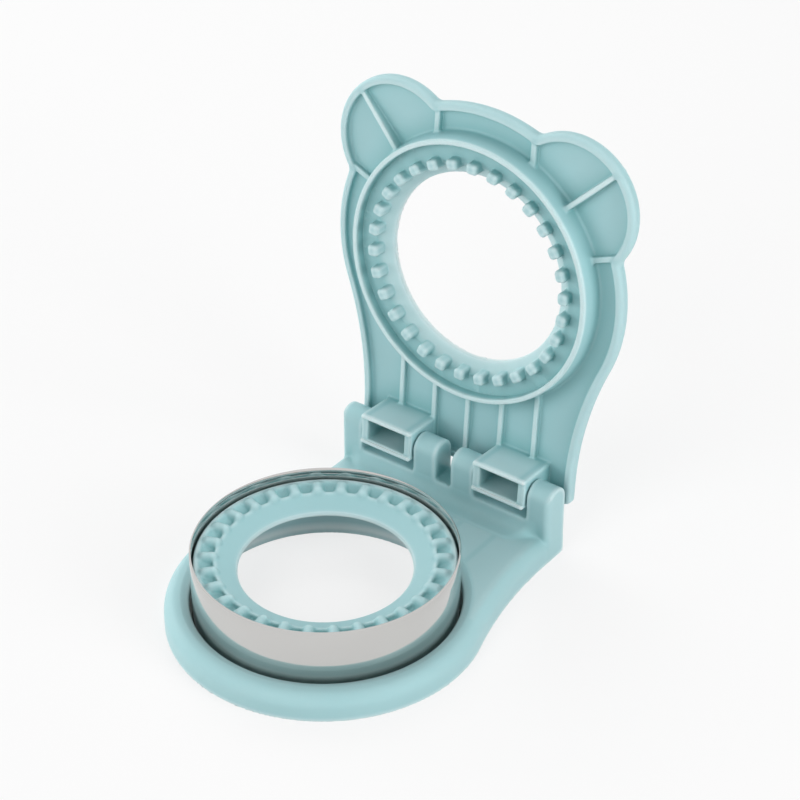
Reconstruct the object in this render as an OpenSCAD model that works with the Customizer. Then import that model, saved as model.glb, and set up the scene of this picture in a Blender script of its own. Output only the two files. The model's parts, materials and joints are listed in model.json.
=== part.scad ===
// Sandwich pocket cutter: a hinged lid presses bread over a steel ring,
// which cuts a round pocket while two rings of teeth crimp its edge.
// Everything is drawn from the centre of the steel ring, on the table, and then placed
// so that the origin is under the middle of the whole with its lid open.
// X runs along the hinge, Y points back to the hinge and Z is up.

/* [Base] */
// How far the round front of the base stands out past the steel ring
base_out = 9.3; // [7:0.1:15]
// Height of the base at the crown of its rim
rim_h = 10; // [8:0.5:12]
// Radius of the soft outer edge of the base
rim_round = 5.6; // [3:0.1:6]
// Radius of the concave blend from the round front to the neck
base_blend_r = 154; // [120:1:200]
// How far the deck falls from the crown to the ring
deck_fall = 1.3; // [0.4:0.1:2]
// Wall of the base moulding
base_wall = 2; // [1.6:0.1:2.2]
// Thickness of the stiffening ribs under the neck
base_rib_t = 1.5; // [1:0.1:2.5]

/* [Neck and hinge] */
// Width of the neck of the base and of the lid
neck_w = 87.6; // [84:0.2:94]
// Distance from the ring centre to the hinge axis
hinge_reach = 70; // [66:0.5:76]
// Radius of the rounded top of the lugs
lug_r = 5; // [4.5:0.1:6]
// Gap between the two middle lugs
slot_w = 6.4; // [4:0.2:9]
// Width of each middle lug
mid_lug_w = 9.4; // [6:0.2:11]
// Width of each hollow knuckle of the lid
knuckle_w = 21; // [18:0.2:24]
// Clearance on each side of a knuckle
side_gap = 0.5; // [0.3:0.05:0.8]
// Radius of the pivot stubs
stub_r = 2.4; // [1.8:0.1:3]
// How far a stub reaches into its lug
stub_len = 2.6; // [2:0.1:4]
// Radial clearance of a stub in its bore
pivot_gap = 0.08; // [0.04:0.01:0.1]
// Gap between the sill under the knuckles and the corners that swing over it
sill_gap = 0.4; // [0.3:0.05:1]
// Radius of the concave front of the sill
sill_front_r = 6.5; // [5.5:0.1:9]
// How far the open lid leans back from upright
lid_lean = 4; // [0:0.5:12]

/* [Cutting ring] */
// Outer radius of the steel ring
ring_r = 44; // [42:0.1:45]
// Thickness of the steel
ring_t = 0.6; // [0.4:0.05:1]
// Height of the cutting edge above the ridges
edge_above = 3; // [1:0.1:5]
// Height of the foot of the ring above the table
ring_foot = 3; // [2.5:0.1:4]
// Width of the turned foot of the ring
foot_w = 2; // [1.5:0.1:2.4]
// Height of the sharpened edge
edge_h = 0.8; // [0.4:0.1:1.5]

/* [Crimp ring] */
// Number of ridges, and of teeth in the lid
teeth = 30; // [20:1:36]
// Gap between the steel and the crimp ring
crimp_gap = 1.8; // [0.5:0.1:3]
// Height of the ridges above the table
crimp_top = 25; // [23:0.5:26]
// Radius of the hole through the crimp ring
hole_r = 28.6; // [25:0.1:31]
// Length of the ridges from the outer edge of the ring to the cone
ridge_len = 5.7; // [4:0.1:7]
// Drop of the cone from the ridges to the hole
cone_drop = 4; // [2:0.1:6]
// Radius of the round pockets between the ridges
scoop_r = 2.5; // [1.8:0.1:2.6]
// Wall of the crimp ring
crimp_wall = 2; // [1.6:0.1:2.4]

/* [Lid] */
// How far the round head of the lid stands out past the press ring
head_out = 10.5; // [6:0.1:16]
// Radius of the concave blend from the head to the neck
lid_blend_r = 125; // [100:1:160]
// Radius of the two ears
ear_r = 24.2; // [20:0.1:28]
// Distance from the ring centre to the centre of an ear
ear_reach = 47.8; // [44:0.1:52]
// Angle of an ear above the crosswise line
ear_angle = 44.8; // [35:0.2:55]
// Thickness of the lid plate
plate_t = 2.3; // [1.8:0.1:3]
// Width of the rounded wall round the lid
brim_w = 2.8; // [2:0.1:4]
// Height of that wall above the plate
brim_h = 2.2; // [1.5:0.1:3]
// Rounding of that wall
brim_round = 1.2; // [0.6:0.1:1.3]
// Rounding of the outer edge at the back of the lid
back_round = 1.6; // [0.6:0.1:2]
// How far the lid runs past the hinge axis
tail = 6; // [4:0.5:7]
// Gap between the steel and the press ring
press_gap = 1; // [0.5:0.1:2]
// Thickness of the press ring at its rim
press_t = 1.5; // [1:0.1:1.8]
// How far the rim of the press ring is above the hinge axis, with the lid shut
press_above = 1.5; // [0:0.1:3]
// How far the press ring stands above the plate
press_h = 8.2; // [7:0.1:10]
// Gap between the cutting edge and the floor of its groove
edge_gap = 0.4; // [0.2:0.1:1.5]
// Radius of the hole through the lid
lid_hole_r = 33.5; // [30:0.1:35]
// Depth of the lip of that hole below the press ring
lid_lip_d = 6.7; // [5.5:0.1:7.5]
// Gap between a tooth and the pocket it enters
tooth_gap = 0.6; // [0.3:0.05:1]
// How far the teeth stand past the press ring
tooth_proud = 0.5; // [0:0.1:1]
// Thickness of the ribs of the neck and the ears
rib_t = 1.3; // [0.8:0.1:2]
// Thickness of the short ribs beside the ears
notch_rib_t = 1.9; // [1:0.1:2.5]
// Height of the ribs above the plate
rib_h = 1.8; // [1:0.1:2.2]
// How far the upright ribs by the ears stand from the middle
notch_rib_x = 18.8; // [15:0.1:22]
// Angle of the level ribs by the ears
notch_rib_a = 22; // [15:0.5:30]
// Spacing of the five neck ribs
rib_pitch = 13.8; // [12:0.1:16]
// Height of a knuckle above the hinge axis
knuckle_up = 6.8; // [6:0.1:8]
// Height of a knuckle below the hinge axis
knuckle_down = 4.5; // [3.5:0.1:5.5]
// How far a knuckle stands out in front of the hinge axis
knuckle_out = 6.7; // [5.5:0.1:7.5]
// Side wall of a knuckle
knuckle_side = 2.8; // [2:0.1:4]
// Top and bottom wall of a knuckle
knuckle_wall = 1.7; // [1.2:0.1:2.5]

/* [Hidden] */
$fn = 96;
eps = 0.01;
// How far a cutting body runs past the part, so that no thin skin is left
over = 1;

mint = "#A9D2D2";
steel = "#C9CCCC";

base_r = ring_r + base_out;
crimp_r = ring_r - ring_t - crimp_gap;
cone_r = crimp_r - ridge_len;
ring_top = crimp_top + edge_above;
// Shut, the rim of the press ring is level with the ridges
hinge_h = crimp_top - press_above;
groove_r = ring_r + press_gap;
press_r = groove_r + press_t;
head_r = press_r + head_out;
groove_d = edge_above + edge_gap;
half = neck_w / 2;
pitch = 360 / teeth;
base_rear = hinge_reach + lug_r;
crown_r = base_r - rim_round;
collar_gap = 0.9;
collar_r = ring_r + collar_gap;
ledge_z = ring_foot + ring_t;
foot_gap = 0.3;
seat_r = ring_r + foot_w + foot_gap;
flange_t = 2;
edge_t = 0.2;
ridge_drop = 0.7;
scoop_lap = 0.3;
scoop_reach = cone_r + scoop_r - scoop_lap;
tooth_w = 2 * (scoop_r - tooth_gap);
tooth_reach = scoop_reach;
cone_top = crimp_top - ridge_drop;
cone_low = cone_top - cone_drop;
lug_round = 2.5;
end_gap = 0.4;
knuckle_in = slot_w / 2 + mid_lug_w + side_gap;
knuckle_mid = knuckle_in + knuckle_w / 2;
lug_in = knuckle_in + knuckle_w + side_gap;
lug_front = hinge_reach - lug_r;
sill_z = hinge_h - norm([knuckle_down, knuckle_out]) - sill_gap;

// Levels of the lid, measured from the hinge axis towards its inner side
rim_n = -press_above;
plate_n = rim_n - press_h;
back_n = plate_n - plate_t;
groove_n = rim_n - groove_d;
lip_n = rim_n - lid_lip_d;
dish_t = 2;
tail_chamfer = 2;
notch_rib_end = sqrt(pow(head_r - brim_w / 2, 2) - notch_rib_x * notch_rib_x);
tooth_tip = rim_n + tooth_proud;
tooth_len = 1.8;
// How far one feature runs into the next where they join
seat = 0.3;

// The origin, half way between the round front and the rear of the open lid
lid_rear = hinge_reach + (hinge_reach + head_r) * sin(lid_lean) - back_n * cos(lid_lean);
mid_y = (lid_rear - base_r) / 2;

// The blends cross the head and the neck at a slight angle, too small to see
kink = 6;
function blend_x(blend_r) = half + blend_r * cos(kink);
function blend_y(r, blend_r) =
    sqrt(r * r + blend_r * blend_r + 2 * r * blend_r * cos(kink) - pow(blend_x(blend_r), 2));

// The neck starts where its blends touch the round head
function neck_from(r, blend_r) = r * sin(atan2(blend_y(r, blend_r), blend_x(blend_r)));

// The space outside a soft top edge, in section, with the solid left of the origin
module soft_edge(reach, top, round) {
    translate([0, -over])
    square([reach, top + 2 * over]);
    difference() {
        translate([-round, top - round])
        square([round + eps, round + over]);
        translate([-round, top - round])
        circle(r = round);
    }
}

// The neck as a slab, its concave sides cut by two spools and then by two straight bars.
// The child is the space outside its edge, in section.
module neck_slab(r, blend_r, end, h) {
    y = blend_y(r, blend_r);
    from = neck_from(r, blend_r);
    difference() {
        translate([-r, from, 0])
        cube([2 * r, end - from, h]);
        for (side = [0, 1])
        mirror([side, 0, 0]) {
            translate([blend_x(blend_r), y, 0])
            rotate_extrude()
            intersection() {
                translate([blend_r, 0])
                mirror([1, 0])
                children();
                translate([0, -over])
                square([2 * blend_r, h + 2 * over]);
            }
            translate([half, end + over, 0])
            rotate([90, 0, 0])
            linear_extrude(end + over - y)
            children();
        }
    }
}

// The plan of the neck, set in from its outline
module neck_plan(r, blend_r, end, inset) {
    y = blend_y(r, blend_r);
    from = neck_from(r, blend_r) * (r - inset) / r;
    difference() {
        translate([inset - r, from])
        square([2 * (r - inset), end - inset - from]);
        for (side = [0, 1])
        mirror([side, 0]) {
            translate([blend_x(blend_r), y])
            circle(r = blend_r + inset);
            translate([half - inset, y])
            square([r, end]);
        }
    }
}

// The round front of the base in section: rim, deck and the bore for the steel
module base_front_section() {
    difference() {
        polygon([
            [collar_r, rim_h - deck_fall], [crown_r, rim_h], [base_r, rim_h],
            [base_r, 0], [seat_r, 0], [seat_r, ledge_z], [collar_r, ledge_z]
        ]);
        translate([base_r, 0])
        soft_edge(over, rim_h, rim_round);
    }
}

// The channel that keeps the wall of the rim even, in section
module channel_section() {
    inner = seat_r + base_wall;
    outer = base_r - base_wall;
    translate([inner, -over])
    square([outer - inner, rim_h - rim_round + over]);
}

// One lug of the hinge, with its rounded top round the axis
module lug(x, w, foot) {
    translate([x, hinge_reach, hinge_h])
    rotate([90, 0, 90])
    linear_extrude(w) {
        circle(r = lug_r);
        translate([-lug_r, foot - hinge_h])
        square([2 * lug_r, hinge_h - foot]);
    }
}

// The outer lug, its front outer edge rounded and its side flush with the neck
module outer_lug() {
    difference() {
        lug(lug_in, half - lug_in, 0);
        translate([half - lug_round, hinge_reach - lug_r + lug_round, -over])
        difference() {
            translate([0, -lug_round - over, 0])
            cube([lug_round + over, lug_round + over, hinge_h + lug_r + 2 * over]);
            cylinder(r = lug_round, h = hinge_h + lug_r + 2 * over);
        }
    }
}

// The sill that joins the lugs under the knuckles. Its concave front runs out on the deck,
// with mitred ends where the flat of the deck ends.
module sill() {
    rise = sill_z - rim_h;
    lean = sqrt(sill_front_r * sill_front_r - rise * rise / 2) / sqrt(2);
    centre = rise / 2 + lean;
    flat = half - rim_round;
    difference() {
        translate([-flat, 0, 0])
        rotate([90, 0, 90])
        linear_extrude(2 * flat)
        difference() {
            translate([lug_front - centre, rim_h - base_wall])
            square([centre + 2 * lug_r, rise + base_wall]);
            translate([lug_front - centre, rim_h + centre])
            circle(r = sill_front_r);
        }
        for (side = [0, 1])
        mirror([side, 0, 0])
        translate([flat, lug_front, 0])
        rotate([0, 0, -45])
        translate([0, -half, 0])
        cube([half, 2 * half, hinge_h]);
    }
}

module base() {
    bore_span = knuckle_w + 2 * (side_gap + stub_len + end_gap);
    color(mint)
    translate([0, -mid_y, 0])
    difference() {
        union() {
            rotate_extrude() base_front_section();
            difference() {
                neck_slab(base_r, base_blend_r, base_rear, rim_h)
                soft_edge(base_blend_r, rim_h, rim_round);
                translate([0, 0, -over])
                cylinder(r = crown_r, h = rim_h + 2 * over);
            }
            sill();
            for (side = [0, 1])
            mirror([side, 0, 0]) {
                lug(slot_w / 2, mid_lug_w, rim_h - base_wall);
                outer_lug();
            }
        }
        rotate_extrude() channel_section();
        neck_hollow();
        translate([0, 0, -over])
        cylinder(r = seat_r, h = ledge_z + over);
        for (side = [-1, 1])
        translate([side * knuckle_mid, hinge_reach, hinge_h])
        rotate([0, 90, 0])
        cylinder(r = stub_r + pivot_gap, h = bore_span, center = true);
    }
}

// The hollow under the neck, with its stiffening ribs left standing
module neck_hollow() {
    shoulder = rim_h - rim_round;
    difference() {
        union() {
            translate([0, 0, -over])
            linear_extrude(shoulder + over)
            neck_plan(base_r, base_blend_r, base_rear, base_wall);
            translate([0, 0, shoulder - eps])
            linear_extrude(rim_h - base_wall - shoulder)
            neck_plan(base_r, base_blend_r, base_rear, 2 * base_wall);
            translate([base_wall - lug_in, lug_front + base_wall, shoulder])
            cube([2 * (lug_in - base_wall), 2 * (lug_r - base_wall), sill_z - base_wall - shoulder]);
        }
        translate([0, 0, -2 * over])
        cylinder(r = seat_r + base_wall, h = rim_h + 2 * over);
        for (k = [-2, -1, 0, 1, 2])
        translate([k * rib_pitch - base_rib_t / 2, 0, 0])
        cube([base_rib_t, base_rear, sill_z]);
        for (side = [0, 1])
        mirror([side, 0, 0])
        translate([lug_in, hinge_reach - lug_r, -2 * over])
        cube([half, 2 * lug_r, sill_z + 2 * over]);
    }
}

// The spring-steel band with its sharpened top edge and turned foot
module cutter_ring() {
    color(steel)
    translate([0, -mid_y, 0])
    rotate_extrude()
    polygon([
        [ring_r - ring_t, ring_foot], [ring_r + foot_w, ring_foot],
        [ring_r + foot_w, ring_foot + ring_t], [ring_r, ring_foot + ring_t],
        [ring_r, ring_top - edge_h], [ring_r - ring_t + edge_t, ring_top],
        [ring_r - ring_t, ring_top]
    ]);
}

// The section of the crimp ring before the pockets are cut.
// Its flange fills the seat in the base and traps the foot of the steel.
module crimp_section() {
    soft = 0.6;
    draft = 0.4;
    floor_t = 1.9;
    wall_r = crimp_r - crimp_wall;
    foot_r = ring_r - ring_t;
    flange_low = ring_foot - flange_t;
    polygon([
        [hole_r, cone_low], [cone_r, cone_top], [cone_r + soft, crimp_top],
        [crimp_r - soft, crimp_top], [crimp_r, crimp_top - soft], [crimp_r, rim_h],
        [foot_r, ring_foot], [seat_r, ring_foot], [seat_r, flange_low],
        [foot_r - soft, flange_low], [wall_r + draft, rim_h],
        [wall_r, cone_top - 2 * floor_t], [cone_r, cone_top - floor_t],
        [hole_r + soft, cone_low - floor_t], [hole_r, cone_low - floor_t + soft]
    ]);
}

// The toothed ring inside the steel: ridges with round pockets between them,
// closed on the outside by the smooth edge of the ring
module crimp_ring() {
    color(mint)
    translate([0, -mid_y, 0])
    difference() {
        rotate_extrude() crimp_section();
        for (k = [0 : teeth - 1])
        rotate([0, 0, (k + 0.5) * pitch])
        translate([scoop_reach, 0, crimp_top])
        sphere(r = scoop_r);
    }
}

// The space outside the rounded edge of the lid, in section
module lid_edge(reach) {
    h = plate_t + brim_h;
    translate([0, back_n])
    soft_edge(reach, h, brim_round);
    translate([0, back_n + h / 2])
    mirror([0, 1])
    translate([0, -h / 2])
    soft_edge(reach, h, back_round);
}

// A round part of the lid as a disc with rounded edges
module lid_disc(r) {
    rotate_extrude()
    difference() {
        translate([0, back_n])
        square([r, plate_t + brim_h]);
        translate([r, 0])
        lid_edge(over);
    }
}

// The press ring, the groove, the cone and the lip of the hole, in section
module dish_section() {
    foot = 1;
    soft = 0.4;
    cone_from = tooth_reach + soft;
    back_r = groove_r - soft;
    polygon([
        [press_r, rim_n - soft], [press_r + foot, plate_n], [press_r + foot, back_n],
        [groove_r, back_n], [back_r, groove_n - dish_t],
        [cone_from, groove_n - dish_t], [lid_hole_r, lip_n - dish_t],
        [lid_hole_r, lip_n], [cone_from, groove_n], [groove_r - soft / 2, groove_n],
        [groove_r, rim_n - soft], [groove_r + soft, rim_n], [press_r - soft, rim_n]
    ]);
}

// One tooth: a rounded radial finger that stands on the cone
module tooth() {
    r = tooth_w / 2;
    root = groove_n - dish_t + seat;
    translate([tooth_reach, 0, 0]) {
        translate([0, 0, root])
        cylinder(r = r, h = tooth_tip - r - root);
        translate([0, 0, tooth_tip - r])
        sphere(r = r);
        translate([0, 0, tooth_tip - r])
        rotate([0, -90, 0])
        cylinder(r = r, h = tooth_len);
        translate([-tooth_len, -r, root])
        cube([tooth_len, tooth_w, tooth_tip - r - root]);
    }
}

// A rib on the lid plate from one radius to another
module rib(from, to, t) {
    translate([from, -t / 2, plate_n - seat])
    cube([to - from, t, rib_h + seat]);
}

// One hollow knuckle with its two pivot stubs
module knuckle() {
    tall = knuckle_up + knuckle_down;
    translate([-knuckle_w / 2, -knuckle_down, plate_n - seat])
    difference() {
        cube([knuckle_w, tall, knuckle_out - plate_n + seat]);
        translate([knuckle_side, knuckle_wall, seat + knuckle_wall])
        cube([knuckle_w - 2 * knuckle_side, tall - 2 * knuckle_wall, knuckle_out - plate_n]);
    }
    for (side = [0, 1])
    mirror([side, 0, 0])
    translate([knuckle_w / 2 - seat, 0, 0])
    rotate([0, 90, 0])
    cylinder(r = stub_r, h = seat + side_gap + stub_len);
}

// The lid plate with its brim, before the tray is cleared
module lid_body(ear_at, end) {
    h = plate_t + brim_h;
    lid_disc(head_r);
    for (side = [-1, 1])
    translate([side * ear_at[0], ear_at[1], 0])
    lid_disc(ear_r);
    mirror([0, 1, 0])
    difference() {
        translate([0, 0, back_n])
        neck_slab(head_r, lid_blend_r, end, h)
        translate([0, -back_n])
        lid_edge(lid_blend_r);
        translate([-head_r, end, 0])
        rotate([90, 0, 90])
        linear_extrude(2 * head_r)
        lid_edge(over);
        for (side = [-1, 1])
        translate([side * half, end, back_n + h / 2])
        rotate([0, 0, 45])
        cube([tail_chamfer * sqrt(2), tail_chamfer * sqrt(2), h + 2 * over], center = true);
    }
}

// The space inside the brim
module lid_tray(ear_at, end) {
    translate([0, 0, plate_n])
    linear_extrude(brim_h + over) {
        circle(r = head_r - brim_w);
        for (side = [-1, 1])
        translate([side * ear_at[0], ear_at[1]])
        circle(r = ear_r - brim_w);
        mirror([0, 1])
        neck_plan(head_r, lid_blend_r, end, brim_w);
    }
}

// The lid in its own frame: the hinge axis is X, Y runs up the lid and Z is its inner side
module lid_flat() {
    ear_at = ear_reach * [cos(ear_angle), sin(ear_angle)];
    end = hinge_reach + tail;
    translate([0, hinge_reach, 0]) {
        difference() {
            lid_body(ear_at, end);
            lid_tray(ear_at, end);
            translate([0, 0, back_n - over])
            cylinder(r = press_r, h = plate_t + brim_h + 2 * over);
        }
        rotate_extrude() dish_section();
        for (k = [0 : teeth - 1])
        rotate([0, 0, (k + 0.5) * pitch])
        tooth();
        for (side = [0, 1])
        mirror([side, 0, 0]) {
            rotate([0, 0, ear_angle])
            rib(press_r, ear_reach + ear_r - brim_w / 2, rib_t);
            translate([notch_rib_x, 0, 0])
            rotate([0, 0, 90])
            rib(sqrt(press_r * press_r - notch_rib_x * notch_rib_x), notch_rib_end, notch_rib_t);
            rotate([0, 0, notch_rib_a])
            rib(press_r, head_r - brim_w / 2, notch_rib_t);
        }
        for (k = [-2, -1, 0, 1, 2])
        translate([k * rib_pitch, 0, 0])
        rotate([0, 0, -90])
        rib(press_r * cos(asin(k * rib_pitch / press_r)), end - brim_w / 2, rib_t);
    }
    for (side = [-1, 1])
    translate([side * knuckle_mid, 0, 0])
    knuckle();
}

module lid() {
    color(mint)
    translate([0, hinge_reach - mid_y, hinge_h])
    rotate([90 - lid_lean, 0, 0])
    lid_flat();
}

base();
crimp_ring();
cutter_ring();
lid();
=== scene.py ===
import json
import math

import bpy
import numpy as np
from bpy.props import FloatProperty, FloatVectorProperty, PointerProperty
from mathutils import Euler, Matrix, Vector


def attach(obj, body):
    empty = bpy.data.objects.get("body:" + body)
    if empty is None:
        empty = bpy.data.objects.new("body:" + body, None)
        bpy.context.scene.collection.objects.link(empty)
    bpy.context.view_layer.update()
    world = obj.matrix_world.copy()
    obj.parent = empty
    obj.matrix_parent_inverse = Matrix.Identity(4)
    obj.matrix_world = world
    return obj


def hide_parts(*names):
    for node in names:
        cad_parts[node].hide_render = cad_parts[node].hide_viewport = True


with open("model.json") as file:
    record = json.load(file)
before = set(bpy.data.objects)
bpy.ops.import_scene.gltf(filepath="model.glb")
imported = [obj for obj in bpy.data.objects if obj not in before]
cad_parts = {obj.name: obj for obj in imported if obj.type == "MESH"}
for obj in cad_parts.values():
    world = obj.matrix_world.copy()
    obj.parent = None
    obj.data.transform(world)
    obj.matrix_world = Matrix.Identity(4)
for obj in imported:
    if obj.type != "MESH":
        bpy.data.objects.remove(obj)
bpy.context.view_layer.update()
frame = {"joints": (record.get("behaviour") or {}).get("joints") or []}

bl_info = {
    "name": "Sandwich pocket cutter",
    "version": (1, 0, 0),
    "blender": (4, 5, 0),
    "location": "View3D > Sidebar > Cutter",
    "description": "Builds a hinged sandwich cutter with its moulded plastic and steel",
    "category": "Object",
}

MM = 0.001

# Shared sizes in millimetres, from the centre of the steel ring on the table

# Angle from one ridge of the crimp ring to the next, and from one tooth to the next
PITCH = math.radians(12)
RIB_PITCH = 13.8
SLOT_W = 6.4
MID_LUG_W = 9.4
SIDE_GAP = 0.5
KNUCKLE_W = 21
STUB_R = 2.4
STUB_LEN = 2.6
PIVOT_GAP = 0.08
# Wall of the base moulding
WALL = 2
# The turned foot of the steel lies between these two levels
FOOT_Z = 3
LEDGE_Z = 3.6
FOOT_W = 2
# The seat in the base that holds the flange of the crimp ring, past the steel
SEAT_OUT = 2.3
COLLAR_GAP = 0.9
DECK_FALL = 1.3
SILL_Z = 15
SILL_FRONT_R = 6.5
LID_LEAN = math.radians(4)
KNUCKLE_IN = SLOT_W / 2 + MID_LUG_W + SIDE_GAP
KNUCKLE_MID = KNUCKLE_IN + KNUCKLE_W / 2
LUG_IN = KNUCKLE_IN + KNUCKLE_W + SIDE_GAP

# Layers of a grid that are worked out at a time, to spare memory
LAYERS = 32

# Names of the finishes
MINT_PLASTIC = "polypropylene_mint_moulded"
BRIGHT_STEEL = "stainless_strip_bright_rolled"
STUDIO_BOARD = "studio_board_matt"

# A Mix node's colour sockets, which share their names with its other sockets
MIX_FACTOR, MIX_A, MIX_B, MIX_RESULT = 0, 6, 7, 2

# Round soft lamps: name, azimuth from the front, elevation, watts
LAMP_SIZE = 0.7
LAMP_DISTANCE = 1.0
LAMP_AIM = (0, 0.02, 0.06)
LAMPS = (
    ("lamp_back", -140, 55, 5.4),
    ("lamp_left", -90, 8, 4.0),
    ("lamp_front_left", -45, 8, 3.9),
    ("lamp_front", 0, 38, 3.2),
    ("lamp_front_low", 0, 8, 1.6),
    ("lamp_right", 90, 38, 3.0),
    ("lamp_side", 90, 8, 5.6),
)

# The camera as solved from the photograph, its place from the ring's centre in millimetres
CAMERA_PLACE = (383.1, -477.1, 497.9)
CAMERA_AZIMUTH = 36.5
CAMERA_ELEVATION = 34.03
CAMERA_LENS = 107.2


def linear(hex_colour):
    """sRGB hex to linear RGB."""
    values = [int(hex_colour[i : i + 2], 16) / 255 for i in (1, 3, 5)]
    return tuple(v / 12.92 if v <= 0.04045 else ((v + 0.055) / 1.055) ** 2.4 for v in values)


def length(name, description, default):
    """A size setting, its default in millimetres."""
    return FloatProperty(
        name=name, description=description, default=default * MM, unit="LENGTH", precision=5
    )


def colour(name, description, default):
    """A colour setting, its default in sRGB hex."""
    return FloatVectorProperty(
        name=name, description=description, default=linear(default),
        subtype="COLOR", size=3, min=0, max=1,
    )


class CutterSizes(bpy.types.PropertyGroup):
    """Sizes of the moulded parts and the steel."""

    base_r: length("Base radius", "Radius of the round front of the base", 53.3)
    base_h: length("Base height", "Height of the base at the crown of its rim", 10)
    base_round: length("Base edge", "Radius of the soft outer edge of the base", 5.6)
    base_blend: length("Base blend", "Radius from the round front to the neck", 154)
    neck_w: length("Neck width", "Width of the neck of the base and the lid", 87.6)
    hinge_y: length("Hinge reach", "Distance from the ring centre to the hinge axis", 70)
    hinge_z: length("Hinge height", "Height of the hinge axis above the table", 23.5)
    lug_r: length("Lug radius", "Radius of the rounded top of the lugs", 5)
    ring_r: length("Steel radius", "Outer radius of the steel ring", 44)
    ring_t: length("Steel thickness", "Thickness of the steel", 0.6)
    ring_top: length("Steel height", "Height of the cutting edge", 28)
    crimp_r: length("Crimp radius", "Outer radius of the crimp ring", 42.9)
    crimp_top: length("Crimp height", "Height of the ridges", 25)
    hole_r: length("Hole radius", "Radius of the hole through the crimp ring", 28.6)
    head_r: length("Head radius", "Radius of the round head of the lid", 57)
    lid_blend: length("Lid blend", "Radius from the head to the neck of the lid", 125)
    ear_r: length("Ear radius", "Radius of the two ears", 24.19)
    press_r: length("Press ring radius", "Outer radius of the press ring", 46.5)
    lid_hole_r: length("Lid hole radius", "Radius of the hole through the lid", 33.5)


class CutterColours(bpy.types.PropertyGroup):
    """Colours of the finishes."""

    mint: colour("Mint", "Colour of the moulded plastic", "#A3CBCF")
    steel: colour("Steel", "Colour of the stainless strip", "#CBCAC8")
    floor: colour("Floor", "Colour of the floor and the background", "#FAFAFA")


# A shape is a function of x, y and z in millimetres that says how far a point is outside it.
# The last value in a call of meet, join, cut, corner and block rounds or fillets that edge.


def meet(a, b, soft=0.0):
    """What is in both shapes, with the edge between them rounded."""
    edge = np.maximum(a, b)
    return edge + np.maximum(soft - np.abs(a - b), 0) ** 2 / (4 * soft) if soft else edge


def join(a, b, soft=0.0):
    """Both shapes together, with a fillet between them."""
    return -meet(-a, -b, soft)


def cut(a, b, soft=0.0):
    """The first shape without the second."""
    return meet(a, -b, soft)


def corner(a, b, r):
    """What is in both shapes, with a round edge of radius r."""
    a, b = a + r, b + r
    return np.hypot(np.maximum(a, 0), np.maximum(b, 0)) + np.minimum(np.maximum(a, b), 0) - r


def slab(t, low, high):
    """The space between two levels."""
    return np.abs(t - (low + high) / 2) - (high - low) / 2


def block(x, y, z, low, high, r):
    """A box with round edges."""
    q = [slab(t, a, b) + r for t, a, b in zip((x, y, z), low, high)]
    outside = np.sqrt(sum(np.maximum(t, 0) ** 2 for t in q))
    return outside + np.minimum(np.maximum(np.maximum(q[0], q[1]), q[2]), 0) - r


def polygon(r, z, points):
    """A closed section, by its corners in order."""
    nearest = np.full(np.shape(r), 1e9, np.float32)
    inside = np.zeros(np.shape(r), bool)
    for (ar, az), (br, bz) in zip(points, points[1:] + points[:1]):
        er, ez = br - ar, bz - az
        wr, wz = r - ar, z - az
        t = np.clip((wr * er + wz * ez) / (er * er + ez * ez), 0, 1)
        nearest = np.minimum(nearest, (wr - er * t) ** 2 + (wz - ez * t) ** 2)
        if bz != az:
            inside ^= ((az > z) != (bz > z)) & (wr < er * wz / ez)
    return np.where(inside, -1, 1) * np.sqrt(nearest)


def head_and_neck(x, y, r, blend, half):
    """The plan of a round head that blends into a straight neck along +Y."""
    ax, bx = np.abs(x), half + blend
    by = math.sqrt((r + blend) ** 2 - bx**2)
    d = np.hypot(x, y) - r
    d = np.where((y > ax * by / bx) & (y < by), blend - np.hypot(ax - bx, y - by), d)
    return np.where(y >= by, ax - half, d)


def from_pocket(x, y):
    """The angle round the ring from the middle of the nearest pocket or tooth."""
    turn = np.arctan2(y, x)
    return turn - (np.round(turn / PITCH - 0.5) + 0.5) * PITCH


def crossed_cells(inside):
    """The cells of a grid that the surface runs through."""
    count = np.array(inside.shape) - 1
    some, every = np.zeros(count, bool), np.ones(count, bool)
    for c in np.ndindex(2, 2, 2):
        part = inside[tuple(slice(c[a], c[a] + count[a]) for a in range(3))]
        some |= part
        every &= part
    return some & ~every


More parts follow.
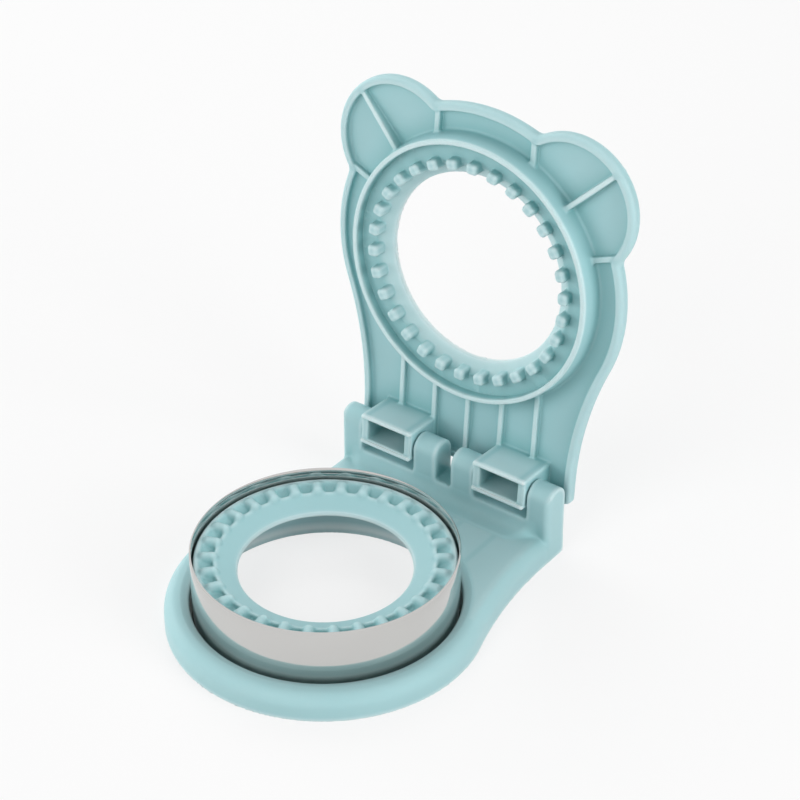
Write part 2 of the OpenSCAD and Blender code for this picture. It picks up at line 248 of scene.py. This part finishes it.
def skin(field, low, high, step):
    """A closed mesh of a shape: one point in each cell that the surface crosses."""
    low = np.array(low, float)
    count = np.ceil((np.array(high) - low) / step).astype(int) + 1
    axes = [low[a] + step * np.arange(count[a]) for a in range(3)]
    v = np.empty(count, np.float32)
    for i in range(0, count[0], LAYERS):
        grid = np.meshgrid(axes[0][i : i + LAYERS], axes[1], axes[2], indexing="ij")
        v[i : i + LAYERS] = field(*(g.astype(np.float32) for g in grid))
    inside = v < 0
    crossed = crossed_cells(inside)
    cells = np.argwhere(crossed)
    number = np.full(count - 1, -1, np.int64)
    number[crossed] = np.arange(len(cells))
    total, hits = np.zeros((len(cells), 3)), np.zeros(len(cells))
    for axis in range(3):
        for c in np.ndindex(2, 2):
            start = np.insert(np.array(c), axis, 0)
            end = np.insert(np.array(c), axis, 1)
            a, b = v[tuple((cells + start).T)], v[tuple((cells + end).T)]
            crosses = (a < 0) != (b < 0)
            at = np.tile(start.astype(float), (len(cells), 1))
            at[:, axis] = np.where(crosses, a / np.where(crosses, a - b, 1), 0)
            total += at * crosses[:, None]
            hits += crosses
    points = low + step * (cells + total / hits[:, None])
    faces = []
    for axis in range(3):
        b, c = (axis + 1) % 3, (axis + 2) % 3
        first = inside[tuple(slice(0, -1) if a == axis else slice(None) for a in range(3))]
        second = inside[tuple(slice(1, None) if a == axis else slice(None) for a in range(3))]
        e = np.argwhere(first != second)
        around = []
        for db, dc in ((1, 1), (0, 1), (0, 0), (1, 0)):
            q = e.copy()
            q[:, b] -= db
            q[:, c] -= dc
            around.append(number[tuple(q.T)])
        quad = np.stack(around, 1)
        outward = first[tuple(e.T)]
        quad[~outward] = quad[~outward][:, ::-1]
        faces.append(quad)
    return points, np.concatenate(faces)


def slope(field, p, reach):
    """Unit normals of a shape at some points."""
    g = np.empty_like(p)
    for axis in range(3):
        d = np.zeros(3)
        d[axis] = reach
        g[:, axis] = field(*(p + d).T) - field(*(p - d).T)
    return g / np.maximum(np.linalg.norm(g, axis=1, keepdims=True), 1e-9)


def moulded(name, field, low, high, step, place, faces_kept):
    """The mesh object of a moulded shape, its points set on the true surface."""
    points, faces = skin(field, low, high, step)
    # Each pass takes most of what is left of a point's distance to the surface
    for _ in range(3):
        away = np.clip(field(*points.T), -step / 2, step / 2)
        points -= 0.8 * away[:, None] * slope(field, points, reach=0.05)
    mesh = bpy.data.meshes.new(name)
    mesh.from_pydata(points.tolist(), [], faces.tolist())
    piece = bpy.data.objects.new(name, mesh)
    bpy.context.scene.collection.objects.link(piece)
    thin = piece.modifiers.new("thin out", "DECIMATE")
    thin.ratio = min(1.0, faces_kept / (2 * len(faces)))
    thinned = bpy.data.meshes.new_from_object(
        piece.evaluated_get(bpy.context.evaluated_depsgraph_get())
    )
    piece.modifiers.clear()
    piece.data = thinned
    thinned.name = name
    bpy.data.meshes.remove(mesh)
    at = np.empty(len(thinned.vertices) * 3)
    thinned.vertices.foreach_get("co", at)
    normals = slope(field, at.reshape(-1, 3), reach=0.2)
    thinned.transform(place)
    turned = normals @ np.array(place.to_3x3().normalized()).T
    thinned.shade_smooth()
    thinned.normals_split_custom_set_from_vertices(turned.tolist())
    return piece


def sizes():
    """The size settings in millimetres."""
    s = bpy.context.scene.cutter_sizes
    return {key: getattr(s, key) / MM for key in CutterSizes.__annotations__}


def placement():
    """From the ring's centre in millimetres to the frame in metres.
    The frame's origin lies behind the ring's centre, as the hinge's place says."""
    hinge = Vector(frame["joints"][0]["pos_m"])
    back = hinge.y - bpy.context.scene.cutter_sizes.hinge_y
    return Matrix.Translation((0, back, 0)) @ Matrix.Scale(MM, 4)


def base_field(s):
    """The base: rim, deck and hollow neck, the sill and lugs on it, and the hinge bores."""
    r, top, edge = s["base_r"], s["base_h"], s["base_round"]
    axis_y, axis_z, lug_r = s["hinge_y"], s["hinge_z"], s["lug_r"]
    half, front, rear = s["neck_w"] / 2, axis_y - lug_r, axis_y + lug_r
    collar, seat, crown = s["ring_r"] + COLLAR_GAP, s["ring_r"] + SEAT_OUT, r - edge
    shoulder, flat = top - edge, half - edge
    hollow_front, half_rib, lug_corner, bore_end_gap = 16, 0.75, 2.5, 0.4
    rise = SILL_Z - top
    centre = rise / 2 + math.sqrt(SILL_FRONT_R**2 - rise**2 / 2) / math.sqrt(2)
    bore_reach = KNUCKLE_W / 2 + SIDE_GAP + STUB_LEN + bore_end_gap

    def underside(rho, plan, x, y, z):
        """The channel under the rim and the hollow under the neck, round its ribs."""
        channel = np.maximum(slab(rho, seat + WALL, r - WALL), z - shoulder)
        low = np.maximum(plan + WALL, z - shoulder)
        high = np.maximum(plan + 2 * WALL, z - top + WALL)
        ends = np.maximum(seat + WALL - rho, hollow_front - y)
        hollow = np.maximum(np.maximum(np.minimum(low, high), y - rear + WALL), ends)
        cored = np.maximum(slab(y, front + WALL, rear - WALL), z - SILL_Z + WALL)
        hollow = np.minimum(hollow, np.maximum(np.abs(x) - LUG_IN + WALL, cored))
        nearest_rib = np.clip(np.round(x / RIB_PITCH), -2, 2) * RIB_PITCH
        hollow = np.maximum(hollow, half_rib - np.abs(x - nearest_rib))
        hollow = np.maximum(hollow, -np.maximum(LUG_IN - np.abs(x), slab(y, front, rear)))
        return np.minimum(channel, hollow)

    def sill(x, y, z):
        """The raised sill under the knuckles, its front scooped and its ends mitred."""
        scooped = SILL_FRONT_R - np.hypot(y - front + centre, z - top - centre)
        raised = meet(np.maximum(z - SILL_Z, slab(y, front - centre, rear)), scooped, 0.8)
        past = np.abs(x) - flat
        ends = np.maximum(past, (past + front - y) * math.sqrt(0.5))
        return meet(np.maximum(raised, top - WALL - z), ends, 2.2)

    def field(x, y, z):
        rho = np.hypot(x, y)
        plan = head_and_neck(x, y, r, s["base_blend"], half)
        body = corner(plan, z - top, edge)
        body = corner(body, y - rear, 0.8)
        fall = np.clip((crown - rho) / (crown - collar), 0, 1)
        body = meet(body, z - top + DECK_FALL * fall, 0.8)
        body = meet(body, collar - rho, 0.8)
        body = cut(body, np.maximum(rho - seat, z - LEDGE_Z), 0.2)
        body = join(body, sill(x, y, z), 2.0)
        body = cut(body, underside(rho, plan, x, y, z), 0.4)
        arch = np.hypot(y - axis_y, np.maximum(z - axis_z, 0)) - lug_r
        middle = corner(arch, slab(np.abs(x), SLOT_W / 2, SLOT_W / 2 + MID_LUG_W), 0.7)
        middle = np.maximum(middle, top - WALL - z)
        outer = corner(arch, slab(np.abs(x), LUG_IN, half), 0.7)
        outer = np.maximum(outer, corner(np.abs(x) - half, front - y, lug_corner))
        body = join(join(body, middle, 1.0), outer, 1.0)
        body = meet(body, np.maximum(np.maximum(plan, y - rear), -z), 0.3)
        bore = np.hypot(y - axis_y, z - axis_z) - STUB_R - PIVOT_GAP
        return cut(body, np.maximum(bore, np.abs(np.abs(x) - KNUCKLE_MID) - bore_reach))

    return field


def crimp_field(s):
    """The crimp ring: a cone, ball-ended ridges, and pockets for the teeth of the lid."""
    top, hole, outer = s["crimp_top"], s["hole_r"], s["crimp_r"]
    inner, seat = s["ring_r"] - s["ring_t"], s["ring_r"] + SEAT_OUT
    cone_r, cone_top = 35.9, top - 0.7
    cone_low, strip, wall_r = cone_top - 4, top - 1, outer - 2.8
    flange_z, lip_z = 1, 20.5
    section = [
        # the soft edge of the hole and the face of the cone
        (hole, cone_low - 0.9), (hole + 0.3, cone_low - 0.2), (hole + 1, cone_low + 0.3),
        (cone_r, cone_top - 1.0),
        # the strip outside the ridges, the outer face and the flange
        (outer - 0.5, strip), (outer, strip - 0.5), (outer, lip_z), (inner - 0.3, lip_z - 1),
        (inner - 0.3, 4), (inner, FOOT_Z), (seat, FOOT_Z), (seat, flange_z),
        # the inner face of the wall and the underside of the cone
        (inner - 0.6, flange_z), (wall_r + 0.4, 10), (wall_r, cone_top - 5),
        (cone_r, cone_top - 4), (hole + 0.6, cone_low - 1.9), (hole, cone_low - 1.3),
    ]
    pocket_reach, half_long, half_wide, pocket_round = 38.6, 2.3, 2.1, 1.3
    pocket_depth, floor_rise, wall_slope, draft = 3.7, 0.4, 0.94, 0.36
    ridge_reach, ridge_len, ball_r = cone_r + 1.1, 2.4, 2.1

    def field(x, y, z):
        rho = np.hypot(x, y)
        body = polygon(rho, z, section)
        turn = from_pocket(x, y)
        along, aside = rho * np.cos(turn) - pocket_reach, rho * np.sin(turn)
        floor = top - pocket_depth + floor_rise * (along + half_long)
        sides = corner(np.abs(along) - half_long, np.abs(aside) - half_wide, pocket_round)
        sides = (sides - draft * (z - top + 1.5)) * wall_slope
        pocket = corner(sides, floor - z, 0.9)
        lane = turn + np.where(turn > 0, -PITCH / 2, PITCH / 2)
        along = rho * np.cos(lane) - ridge_reach
        along = along - np.clip(along, 0, ridge_len)
        aside, up = rho * np.sin(lane), z - top + ball_r
        ridge = np.sqrt(along**2 + aside**2 + up**2) - ball_r
        return cut(join(body, ridge, 0.9), pocket, 0.5)

    return field


def lid_ribs(s, ear_angle):
    """The ribs of the lid: both ends in plan, half the thickness, and the gusset's height."""
    press_r, ribs = s["press_r"], []
    ear_end, brim_mid, notch_x, notch_angle = 70.6, 55.6, 18.8, math.radians(22)
    spokes = ((ear_angle, ear_end, 0.9, 2.0), (notch_angle, brim_mid, 1.05, 0))
    for side in (-1, 1):
        for a, end, half_t, gusset in spokes:
            start = (side * press_r * math.cos(a), press_r * math.sin(a))
            ribs.append((*start, side * end * math.cos(a), end * math.sin(a), half_t, gusset))
        start, end = math.sqrt(press_r**2 - notch_x**2), math.sqrt(brim_mid**2 - notch_x**2)
        ribs.append((side * notch_x, start, side * notch_x, end, 1.05, 0))
    for k in range(-2, 3):
        x = k * RIB_PITCH
        ribs.append((x, -math.sqrt(press_r**2 - x**2), x, -s["hinge_y"] - 4.6, 0.95, 0))
    return ribs


def knuckles(body, x, y, n, plate):
    """The lid with its two hollow knuckles and their pivot stubs."""
    low, high, out, side_wall, wall = -4.5, 6.8, 6.7, 2.8, 1.7
    step_in, step_depth, stub_root, past = 1.4, 0.8, 1, 12
    half_w = KNUCKLE_W / 2
    wide = np.abs(x) - KNUCKLE_MID
    shell = block(wide, y, n, (-half_w, low, plate - 0.5), (half_w, high, out), 0.6)
    inner_low = (-half_w + side_wall, low + wall, plate + wall)
    inner_high = (half_w - side_wall, high - wall, past)
    pocket = block(wide, y, n, inner_low, inner_high, 0.5)
    step = np.maximum(slab(y, low + step_in, high - step_in), out - step_depth - n)
    body = cut(join(body, cut(shell, step, 0.4), 0.8), pocket, 0.6)
    stub = np.hypot(y, n) - STUB_R
    reach = slab(np.abs(wide), half_w - stub_root, half_w + SIDE_GAP + STUB_LEN)
    return np.minimum(body, np.maximum(stub, reach))


def lid_field(s):
    """The lid in its own frame: X is the hinge axis, Y runs up the lid and n is how far a
    point lies to its inner side."""
    half, press_r, hole = s["neck_w"] / 2, s["press_r"], s["lid_hole_r"]
    rim = -1.5
    plate, groove, lip = rim - 8.2, rim - 3.4, rim - 6.7
    back, brim_top, brim_w = plate - 2.3, plate + 2.2, 2.8
    tail, rib_h, tip = 6, 1.8, rim + 0.5
    ear_angle, ear_reach = math.radians(44.8), 47.8
    ear_x, ear_y = ear_reach * math.cos(ear_angle), ear_reach * math.sin(ear_angle)
    tooth_reach, tooth_long, tooth_wide, tooth_root = 38.1, 1.9, 2.05, groove - 1.7
    groove_r, cone_r, skin_t = press_r - 1.7, tooth_reach + 0.4, 2
    dish = [
        # the outside of the press ring and the back of the lid
        (press_r, rim - 0.2), (press_r + 1, plate), (press_r + 1, back), (groove_r, back),
        # the back of the groove and of the cone, and the lip of the hole
        (groove_r - 0.4, groove - skin_t), (cone_r, groove - skin_t), (hole, lip - skin_t),
        # the cone, the groove for the cutting edge, and the rim of the press ring
        (hole, lip), (cone_r, groove), (groove_r - 0.2, groove), (groove_r, rim - 0.2),
        (groove_r + 0.2, rim), (press_r - 0.2, rim),
    ]
    ribs = lid_ribs(s, ear_angle)

    def field(x, y, n):
        v = y - s["hinge_y"]
        rho = np.hypot(x, v)
        plan = head_and_neck(x, -v, s["head_r"], s["lid_blend"], half)
        plan = join(plan, np.hypot(np.abs(x) - ear_x, v - ear_y) - s["ear_r"], 1.6)
        plan = corner(plan, -tail - y, 2.0)
        body = corner(plan, slab(n, back, brim_top), 1.5)
        body = cut(body, corner(plan + brim_w, plate - n, 1.0), 0.7)
        for x0, y0, x1, y1, half_t, gusset in ribs:
            ex, ey = x1 - x0, y1 - y0
            t = np.clip(((x - x0) * ex + (v - y0) * ey) / (ex * ex + ey * ey), 0, 1)
            wall = np.hypot(x - x0 - ex * t, v - y0 - ey * t) - half_t
            body = join(body, meet(wall, n - plate - rib_h - gusset * (1 - t), 0.5), 0.5)
        body = np.maximum(body, press_r - rho)
        body = join(body, polygon(rho, n, dish), 1.0)
        turn = from_pocket(x, v)
        along, aside = rho * np.cos(turn) - tooth_reach, rho * np.sin(turn)
        low, high = (-tooth_long, -tooth_wide, tooth_root), (tooth_long, tooth_wide, tip)
        body = join(body, block(along, aside, n, low, high, 1.15), 0.6)
        body = meet(body, back - n, 0.3)
        return knuckles(body, x, y, n, plate)

    return field


def node(tree, kind, inputs=None, **settings):
    """Adds a node. Inputs are values, or (node, socket) pairs to link from."""
    made = tree.nodes.new(kind)
    for key, value in settings.items():
        setattr(made, key, value)
    for key, value in (inputs or {}).items():
        if isinstance(value, tuple) and len(value) == 2 and isinstance(value[0], bpy.types.Node):
            tree.links.new(value[0].outputs[value[1]], made.inputs[key])
        else:
            made.inputs[key].default_value = value
    return made


def new_material(name):
    """An empty material and its node tree."""
    made = bpy.data.materials.new(name)
    made.use_nodes = True
    made.node_tree.nodes.clear()
    return made, made.node_tree


def tinted(rgb, gain):
    """A colour with each channel made stronger or weaker."""
    return (*[min(1.0, c * g) for c, g in zip(rgb, gain)], 1)


def moulded_mint():
    """Injection-moulded polypropylene, pigmented mint, from a satin tool: a soft broad
    sheen, a fine even grain and a slight drift of colour where the melt flowed. Painted shade
    darkens it in recesses, and a painted highlight pales it on thin rims and edges."""
    made, tree = new_material(MINT_PLASTIC)
    mint = bpy.context.scene.cutter_colours.mint
    place = node(tree, "ShaderNodeTexCoord")
    # flow marks drift over about 20 mm
    flow = node(tree, "ShaderNodeTexNoise", {
        "Vector": (place, "Object"), "Scale": 50, "Detail": 2, "Roughness": 0.4,
    })
    tint = node(tree, "ShaderNodeMix", {
        MIX_FACTOR: (flow, "Fac"),
        MIX_A: tinted(mint, (0.97, 0.985, 0.985)), MIX_B: tinted(mint, (1.03, 1.015, 1.015)),
    }, data_type="RGBA")
    # painted highlight: where the plastic is under 2 mm thick, on rims, ribs and edges,
    # the mint is painted paler, almost white, for the light those edges catch and let through
    thin = node(tree, "ShaderNodeAmbientOcclusion", {
        "Distance": 0.0019,
    }, samples=8, inside=True, only_local=True)
    painted_edge_highlight = node(tree, "ShaderNodeMix", {
        MIX_FACTOR: (thin, "AO"),
        MIX_A: tinted(mint, (2.6, 1.67, 1.6)), MIX_B: (tint, MIX_RESULT),
    }, data_type="RGBA")
    # painted shade: within 8 mm of another wall of the same piece the mint is painted
    # darker and deeper, for the shade that falls in recesses and corners
    recess = node(tree, "ShaderNodeAmbientOcclusion", {
        "Distance": 0.008,
    }, samples=8, only_local=True)
    painted_recess_shade = node(tree, "ShaderNodeMix", {
        MIX_FACTOR: (recess, "AO"),
        MIX_A: tinted(mint, (0.34, 0.62, 0.6)), MIX_B: (painted_edge_highlight, MIX_RESULT),
    }, data_type="RGBA")
    # the tool's satin grain is about 0.1 mm and is drawn at 0.4 mm, so that it shows
    grain = node(tree, "ShaderNodeTexNoise", {
        "Vector": (place, "Object"), "Scale": 2500, "Detail": 3, "Roughness": 0.6,
    })
    sheen = node(tree, "ShaderNodeMapRange", {
        "Value": (grain, "Fac"), "From Min": 0.3, "From Max": 0.7, "To Min": 0.34, "To Max": 0.42,
    })
    bump = node(tree, "ShaderNodeBump", {
        "Height": (grain, "Fac"), "Strength": 0.12, "Distance": 0.00006,
    })
    shader = node(tree, "ShaderNodeBsdfPrincipled", {
        "Base Color": (painted_recess_shade, MIX_RESULT), "Roughness": (sheen, "Result"), "IOR": 1.49,
        "Normal": (bump, "Normal"), "Subsurface Weight": 0.12,
        "Subsurface Radius": (0.6, 1.0, 1.0), "Subsurface Scale": 0.0015,
    })
    node(tree, "ShaderNodeOutputMaterial", {"Surface": (shader, "BSDF")})
    return made


def rolled_steel():
    """Stainless strip, bright rolled and bent to a ring: mirror-like across the strip,
    with fine rolling lines along it that stretch the reflections."""
    made, tree = new_material(BRIGHT_STEEL)
    steel = bpy.context.scene.cutter_colours.steel
    place = node(tree, "ShaderNodeTexCoord")
    # rolling lines run round the ring, about 0.3 mm apart up the strip and 25 mm long
    lines = node(tree, "ShaderNodeMapping", {
        "Vector": (place, "Object"), "Scale": (40, 40, 3000),
    })
    streak = node(tree, "ShaderNodeTexNoise", {
        "Vector": (lines, "Vector"), "Scale": 1, "Detail": 3, "Roughness": 0.6,
    })
    sheen = node(tree, "ShaderNodeMapRange", {
        "Value": (streak, "Fac"), "From Min": 0.3, "From Max": 0.7, "To Min": 0.04, "To Max": 0.1,
    })
    bump = node(tree, "ShaderNodeBump", {
        "Height": (streak, "Fac"), "Strength": 0.05, "Distance": 0.00003,
    })
    shader = node(tree, "ShaderNodeBsdfPrincipled", {
        "Base Color": (*steel, 1), "Metallic": 1.0, "Roughness": (sheen, "Result"),
        "Normal": (bump, "Normal"),
    })
    node(tree, "ShaderNodeOutputMaterial", {"Surface": (shader, "BSDF")})
    return made


def seen_rays(tree):
    """1 for the rays in which the white background shows: straight, mirrored or through."""
    path = node(tree, "ShaderNodeLightPath")
    mirrored = node(tree, "ShaderNodeMath", {
        0: (path, "Is Camera Ray"), 1: (path, "Is Glossy Ray"),
    }, operation="MAXIMUM")
    return node(tree, "ShaderNodeMath", {
        0: (mirrored, "Value"), 1: (path, "Is Transmission Ray"),
    }, operation="MAXIMUM")


def pale_floor():
    """White studio board, matt: it shows as white and holds a soft shadow."""
    made, tree = new_material(STUDIO_BOARD)
    board_colour = bpy.context.scene.cutter_colours.floor
    dim_colour = tinted(board_colour, (0.75, 0.75, 0.75))
    board = node(tree, "ShaderNodeBsdfDiffuse", {"Color": (*board_colour, 1), "Roughness": 0.9})
    dim = node(tree, "ShaderNodeBsdfDiffuse", {"Color": dim_colour, "Roughness": 0.9})
    white = node(tree, "ShaderNodeEmission", {"Color": (*board_colour, 1), "Strength": 1.0})
    # mostly plain white, with enough of the lit board left for the shadow to show
    faint = node(tree, "ShaderNodeMixShader", {
        0: 0.78, 1: (board, "BSDF"), 2: (white, "Emission"),
    })
    surface = node(tree, "ShaderNodeMixShader", {
        0: (seen_rays(tree), "Value"), 1: (dim, "BSDF"), 2: (faint, "Shader"),
    })
    node(tree, "ShaderNodeOutputMaterial", {"Surface": (surface, "Shader")})
    return made


def material(name, make):
    """The material of that name, made the first time it is asked for."""
    return bpy.data.materials.get(name) or make()


def finish_piece(piece, body, slot, made, *nodes):
    """Gives a piece its material and its body, and hides the nodes that it stands for. The slot
    argument is not used.
    """
    piece.data.materials.clear()
    piece.data.materials.append(made)
    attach(piece, body)
    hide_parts(*nodes)


class BuildBase(bpy.types.Operator):
    """Mould the base: rim, deck, neck, lugs and ribbed underside"""

    bl_idname = "cutter.base"
    bl_label = "Base"

    def execute(self, context):
        piece = moulded(
            "base_moulding", base_field(sizes()), low=(-55, -55, -1), high=(55, 77, 30),
            step=0.5, place=placement(), faces_kept=150000,
        )
        finish_piece(piece, "base", "mint_plastic", material(MINT_PLASTIC, moulded_mint), "base")
        return {"FINISHED"}


class BuildCrimpRing(bpy.types.Operator):
    """Mould the crimp ring: cone, ridges and pockets"""

    bl_idname = "cutter.crimp_ring"
    bl_label = "Crimp ring"

    def execute(self, context):
        piece = moulded(
            "crimp_ring_moulding", crimp_field(sizes()), low=(-47.5, -47.5, 0),
            high=(47.5, 47.5, 26), step=0.42, place=placement(), faces_kept=150000,
        )
        mint = material(MINT_PLASTIC, moulded_mint)
        finish_piece(piece, "base", "mint_plastic", mint, "crimp_ring")
        return {"FINISHED"}


class BuildCutterRing(bpy.types.Operator):
    """Bend the steel strip to a ring with a sharp top edge and a turned foot"""

    bl_idname = "cutter.steel_ring"
    bl_label = "Steel ring"

    def execute(self, context):
        s = sizes()
        r, inner, top = s["ring_r"], s["ring_r"] - s["ring_t"], s["ring_top"]
        section = [
            # the turned foot and the bend above it
            (inner, FOOT_Z), (r + FOOT_W, FOOT_Z), (r + FOOT_W, LEDGE_Z), (r + 0.25, LEDGE_Z),
            (r + 0.07, LEDGE_Z + 0.08), (r, LEDGE_Z + 0.25),
            # the outer face, the ground bevel and the edge, and the inner face
            (r, 8), (r, 16), (r, 24), (r, top - 0.32), (r - 0.03, top - 0.25),
            (inner + 0.24, top - 0.03), (inner + 0.2, top), (inner + 0.04, top),
            (inner, top - 0.04), (inner, 24), (inner, 16), (inner, 8),
        ]
        turns, n = 240, len(section)
        angle = np.arange(turns) * 2 * math.pi / turns
        points = [(p * math.cos(a), p * math.sin(a), z) for a in angle for p, z in section]
        faces = []
        for i in range(turns):
            here, there = i * n, (i + 1) % turns * n
            for k in range(n):
                after = (k + 1) % n
                faces.append((here + k, there + k, there + after, here + after))
        mesh = bpy.data.meshes.new("cutting_ring")
        mesh.from_pydata(points, [], faces)
        mesh.transform(placement())
        mesh.shade_smooth()
        mesh.set_sharp_from_angle(angle=math.radians(50))
        piece = bpy.data.objects.new("cutting_ring", mesh)
        context.scene.collection.objects.link(piece)
        steel = material(BRIGHT_STEEL, rolled_steel)
        finish_piece(piece, "base", "stainless_steel", steel, "cutter_ring")
        return {"FINISHED"}


class BuildLid(bpy.types.Operator):
    """Mould the lid: plate, brim, ears, press ring, teeth, ribs and knuckles"""

    bl_idname = "cutter.lid"
    bl_label = "Lid"

    def execute(self, context):
        s = sizes()
        stand = Matrix.Rotation(math.pi / 2 - LID_LEAN, 4, "X")
        hung = Matrix.Translation((0, s["hinge_y"], s["hinge_z"])) @ stand
        piece = moulded(
            "lid_moulding", lid_field(s), low=(-59.5, -7, -13), high=(59.5, 129.5, 7.6),
            step=0.45, place=placement() @ hung, faces_kept=190000,
        )
        finish_piece(piece, "lid", "mint_plastic", material(MINT_PLASTIC, moulded_mint), "lid")
        return {"FINISHED"}


class BuildStage(bpy.types.Operator):
    """Set the pale floor, the soft lamps and the camera"""

    bl_idname = "cutter.stage"
    bl_label = "Stage"

    def execute(self, context):
        scene = context.scene
        self.lay_floor(scene)
        self.set_world(scene)
        self.hang_lamps(scene)
        self.place_camera(scene)
        scene.view_settings.view_transform = "Standard"
        return {"FINISHED"}

    def lay_floor(self, scene):
        """A wide board on the table plane."""
        w = 3.0
        mesh = bpy.data.meshes.new("floor")
        mesh.from_pydata([(-w, -w, 0), (w, -w, 0), (w, w, 0), (-w, w, 0)], [], [(0, 1, 2, 3)])
        mesh.materials.append(material(STUDIO_BOARD, pale_floor))
        floor = bpy.data.objects.new("floor", mesh)
        scene.collection.objects.link(floor)

    def set_world(self, scene):
        """White where it is seen or mirrored, and almost no light from it elsewhere."""
        world = bpy.data.worlds.new("studio")
        scene.world = world
        world.use_nodes = True
        tree = world.node_tree
        tree.nodes.clear()
        white_colour = (*scene.cutter_colours.floor, 1)
        soft = node(tree, "ShaderNodeBackground", {"Color": (1, 1, 1, 1), "Strength": 0.05})
        white = node(tree, "ShaderNodeBackground", {"Color": white_colour, "Strength": 1.0})
        mix = node(tree, "ShaderNodeMixShader", {
            0: (seen_rays(tree), "Value"), 1: (soft, "Background"), 2: (white, "Background"),
        })
        node(tree, "ShaderNodeOutputWorld", {"Surface": (mix, "Shader")})

    def hang_lamps(self, scene):
        """Round soft lamps that light the object but don't show in the steel."""
        for name, azimuth, elevation, watts in LAMPS:
            a, e = math.radians(azimuth), math.radians(elevation)
            away = Vector((math.sin(a) * math.cos(e), -math.cos(a) * math.cos(e), math.sin(e)))
            lamp = bpy.data.lights.new(name, "AREA")
            lamp.shape = "DISK"
            lamp.size = LAMP_SIZE
            lamp.energy = watts
            light = bpy.data.objects.new(name, lamp)
            light.location = Vector(LAMP_AIM) + away * LAMP_DISTANCE
            light.rotation_euler = (-away).to_track_quat("-Z", "Y").to_euler()
            light.visible_glossy = False
            scene.collection.objects.link(light)

    def place_camera(self, scene):
        """The camera at the photograph's viewing angle."""
        data = bpy.data.cameras.new("camera")
        data.sensor_width = 36
        data.lens = CAMERA_LENS
        data.clip_start, data.clip_end = 0.05, 20
        camera = bpy.data.objects.new("camera", data)
        camera.location = placement() @ Vector(CAMERA_PLACE)
        tilt = math.radians(90 - CAMERA_ELEVATION)
        camera.rotation_euler = Euler((tilt, 0, math.radians(CAMERA_AZIMUTH)))
        scene.collection.objects.link(camera)
        scene.camera = camera


class CutterPanel(bpy.types.Panel):
    """Sizes, colours and pieces of the cutter"""

    bl_idname = "VIEW3D_PT_cutter"
    bl_label = "Sandwich pocket cutter"
    bl_space_type = "VIEW_3D"
    bl_region_type = "UI"
    bl_category = "Cutter"

    def draw(self, context):
        layout = self.layout
        for group in (context.scene.cutter_sizes, context.scene.cutter_colours):
            box = layout.box()
            for key in type(group).__annotations__:
                box.prop(group, key)
        for operator in OPERATORS:
            layout.operator(operator.bl_idname)


GROUPS = (CutterSizes, CutterColours)
OPERATORS = (BuildStage, BuildBase, BuildCrimpRing, BuildCutterRing, BuildLid)
CLASSES = (*GROUPS, *OPERATORS, CutterPanel)


def register():
    for c in CLASSES:
        bpy.utils.register_class(c)
    bpy.types.Scene.cutter_sizes = PointerProperty(type=CutterSizes)
    bpy.types.Scene.cutter_colours = PointerProperty(type=CutterColours)


def unregister():
    del bpy.types.Scene.cutter_colours
    del bpy.types.Scene.cutter_sizes
    for c in reversed(CLASSES):
        bpy.utils.unregister_class(c)


def main():
    register()
    bpy.ops.cutter.stage()
    bpy.ops.cutter.base()
    bpy.ops.cutter.crimp_ring()
    bpy.ops.cutter.steel_ring()
    bpy.ops.cutter.lid()


if __name__ == "__main__":
    main()
